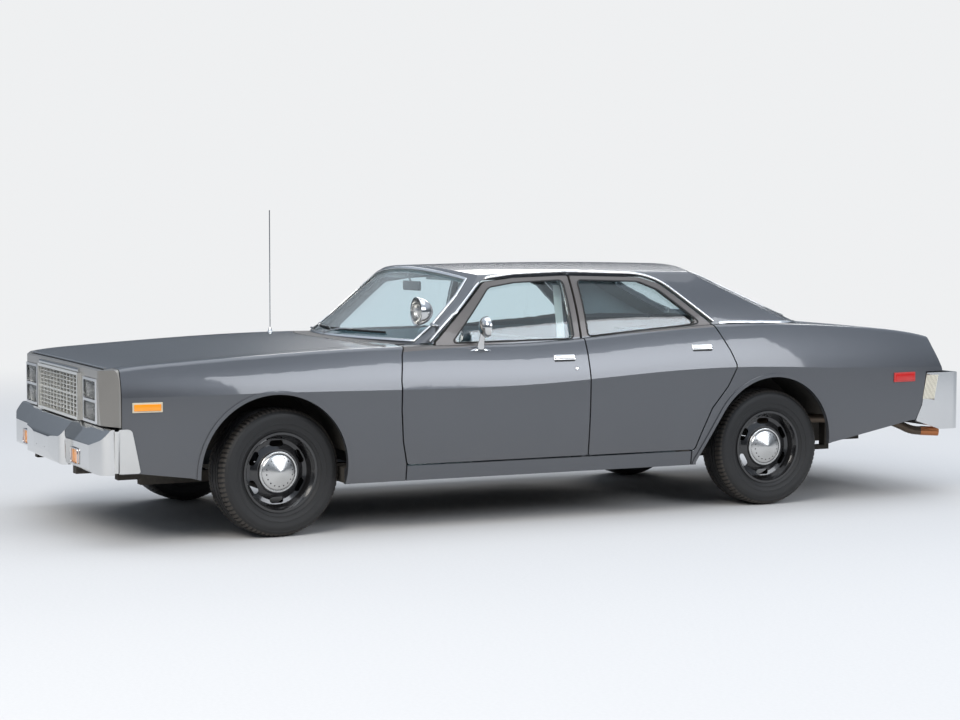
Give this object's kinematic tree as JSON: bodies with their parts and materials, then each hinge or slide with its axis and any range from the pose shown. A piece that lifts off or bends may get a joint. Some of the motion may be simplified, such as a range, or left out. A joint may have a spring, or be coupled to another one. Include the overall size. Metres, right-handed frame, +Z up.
{
  "type": "four-door saloon car",
  "caption": "Full-size four-door saloon with framed doors, upright nose, chrome bumpers, bench seats and steel wheels; doors, lids, steering and wheels move.",
  "frame": {"origin": "on the ground under the middle of the car's box, halfway along its length", "axes": "+Z up, the nose towards -Y, the car's own left side towards +X"},
  "size_m": [2.0153, 5.43, 1.7],
  "materials": {
    "paint": "gloss",
    "nose_paint": "gloss",
    "chrome": "polished",
    "tinted_glass": "clear",
    "clear_lens": "clear",
    "amber_lens": "gloss",
    "red_lens": "gloss",
    "underbody_black": "matt",
    "engine_iron": "rough",
    "exhaust_steel": "dull",
    "cabin_plastic": "matt",
    "filler_plastic": "matt",
    "seat_vinyl": "satin",
    "wheel_black": "satin",
    "tyre": "matt"
  },
  "bodies": {
    "body": {"floor_and_frame": "underbody_black", "firewall_and_cowl": "paint", "front_fenders": "paint", "quarter_panels": "paint", "roof_and_pillars": "paint", "rear_deck": "paint", "inner_fenders": "underbody_black", "nose_panel": "nose_paint", "tail_panel": "paint", "grille": "chrome", "headlamp_bezels": "chrome", "headlamps": "clear_lens", "turn_lamps": "amber_lens", "tail_lamps": "red_lens", "front_bumper": "chrome", "rear_bumper": "chrome", "bumper_fillers": "filler_plastic", "windscreen": "tinted_glass", "rear_window": "tinted_glass", "radiator_and_support": "underbody_black", "engine": "engine_iron", "exhaust": "exhaust_steel", "fuel_tank": "underbody_black", "front_suspension": "underbody_black", "rear_axle_and_springs": "underbody_black", "dashboard": "cabin_plastic", "front_seat": "seat_vinyl", "rear_seat": "seat_vinyl", "antenna": "chrome", "spotlight": "chrome"},
    "door_front_left_leaf": {"door_front_left": "paint", "door_glass_front_left": "tinted_glass", "mirror": "chrome"},
    "door_front_right_leaf": {"door_front_right": "paint", "door_glass_front_right": "tinted_glass"},
    "door_rear_left_leaf": {"door_rear_left": "paint", "door_glass_rear_left": "tinted_glass"},
    "door_rear_right_leaf": {"door_rear_right": "paint", "door_glass_rear_right": "tinted_glass"},
    "hood_leaf": {"hood": "paint"},
    "boot_leaf": {"boot_lid": "paint"},
    "steer_left_body": {"knuckle_left": "underbody_black"},
    "steer_right_body": {"knuckle_right": "underbody_black"},
    "steering_wheel_body": {"steering_wheel": "cabin_plastic"},
    "road_wheel_front_left": {"wheel_front_left": "wheel_black", "tyre_front_left": "tyre", "hubcap_front_left": "chrome"},
    "road_wheel_front_right": {"wheel_front_right": "wheel_black", "tyre_front_right": "tyre", "hubcap_front_right": "chrome"},
    "road_wheel_rear_left": {"wheel_rear_left": "wheel_black", "tyre_rear_left": "tyre", "hubcap_rear_left": "chrome"},
    "road_wheel_rear_right": {"wheel_rear_right": "wheel_black", "tyre_rear_right": "tyre", "hubcap_rear_right": "chrome"}
  },
  "joints": [
    {"name": "door_front_left_hinge", "type": "hinge", "parent": "body", "child": "door_front_left_leaf", "pos_m": [0.993, -1.052, 0.65], "axis": [0, 0, -1], "range_deg": [0, 65]},
    {"name": "door_front_right_hinge", "type": "hinge", "parent": "body", "child": "door_front_right_leaf", "pos_m": [-0.993, -1.052, 0.65], "axis": [0, 0, 1], "range_deg": [0, 65]},
    {"name": "door_rear_left_hinge", "type": "hinge", "parent": "body", "child": "door_rear_left_leaf", "pos_m": [0.993, 0.075, 0.65], "axis": [0, 0, -1], "range_deg": [0, 65]},
    {"name": "door_rear_right_hinge", "type": "hinge", "parent": "body", "child": "door_rear_right_leaf", "pos_m": [-0.993, 0.075, 0.65], "axis": [0, 0, 1], "range_deg": [0, 65]},
    {"name": "hood_hinge", "type": "hinge", "parent": "body", "child": "hood_leaf", "pos_m": [0, -0.995, 0.985], "axis": [-1, 0, 0], "range_deg": [0, 55]},
    {"name": "boot_hinge", "type": "hinge", "parent": "body", "child": "boot_leaf", "pos_m": [0, 1.88, 1.032], "axis": [1, 0, 0], "range_deg": [0, 70]},
    {"name": "steer_left", "type": "hinge", "parent": "body", "child": "steer_left_body", "pos_m": [0.75, -1.69, 0.335], "axis": [0, 0, 1], "range_deg": [-37, 27]},
    {"name": "steer_right", "type": "hinge", "parent": "body", "child": "steer_right_body", "pos_m": [-0.75, -1.69, 0.335], "axis": [0, 0, 1], "range_deg": [-37, 27]},
    {"name": "steering_wheel_turn", "type": "hinge", "parent": "body", "child": "steering_wheel_body", "pos_m": [0.38, -0.56, 0.865], "axis": [0, 0.8829, 0.4695], "range_deg": [-600, 440]},
    {"name": "spin_front_left", "type": "hinge", "parent": "steer_left_body", "child": "road_wheel_front_left", "pos_m": [0.78586, -1.68686, 0.335], "axis": [0.9962, 0.0872, 0], "continuous": true},
    {"name": "spin_front_right", "type": "hinge", "parent": "steer_right_body", "child": "road_wheel_front_right", "pos_m": [-0.78586, -1.69314, 0.335], "axis": [0.9962, 0.0872, 0], "continuous": true},
    {"name": "spin_rear_left", "type": "hinge", "parent": "body", "child": "road_wheel_rear_left", "pos_m": [0.786, 1.295, 0.335], "axis": [1, 0, 0], "continuous": true},
    {"name": "spin_rear_right", "type": "hinge", "parent": "body", "child": "road_wheel_rear_right", "pos_m": [-0.786, 1.295, 0.335], "axis": [1, 0, 0], "continuous": true}
  ],
  "couplings": [
    {"joint": "steer_right", "follows": "steer_left", "ratio": 1},
    {"joint": "steering_wheel_turn", "follows": "steer_left", "ratio": 16}
  ]
}
